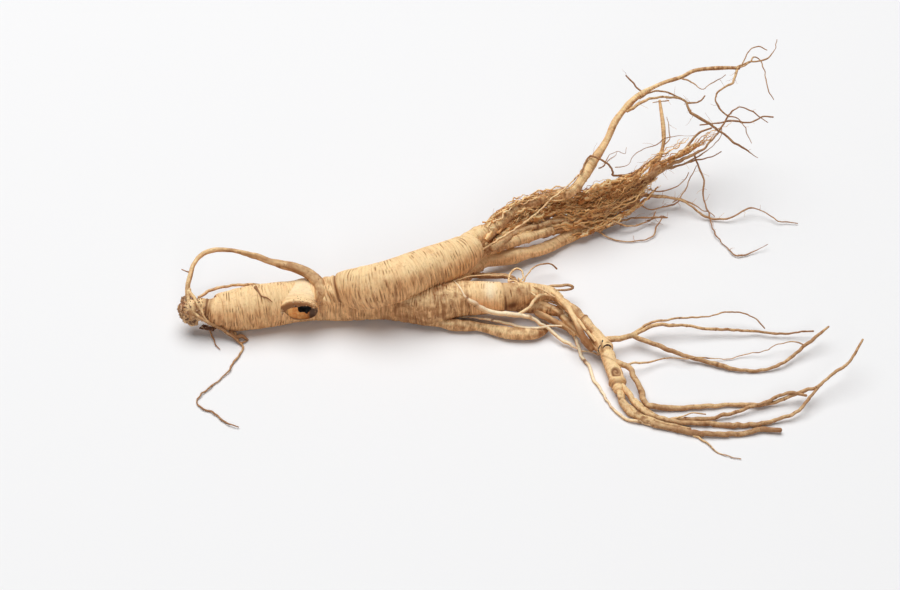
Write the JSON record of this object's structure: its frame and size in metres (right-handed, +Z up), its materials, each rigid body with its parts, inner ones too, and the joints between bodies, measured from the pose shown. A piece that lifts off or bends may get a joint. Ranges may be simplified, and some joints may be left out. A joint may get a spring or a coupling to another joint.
{
  "type": "ginseng root",
  "caption": "Whole fresh ginseng root lying on its side: crown, tapering main root, thick arm crossing over it, forked legs and long rootlets.",
  "frame": {"origin": "centre of the root's bounding box in plan, on the surface that it rests on", "axes": "+X from the crown towards the rootlets, +Z up, +Y towards the side that the arm crosses to"},
  "size_m": [0.3497, 0.2373, 0.0825],
  "materials": {
    "root_skin": "matt fresh root skin, cream to tan, with fine brown rings across it"
  },
  "bodies": {
    "root": {"ginseng_root": "root_skin"}
  },
  "joints": []
}
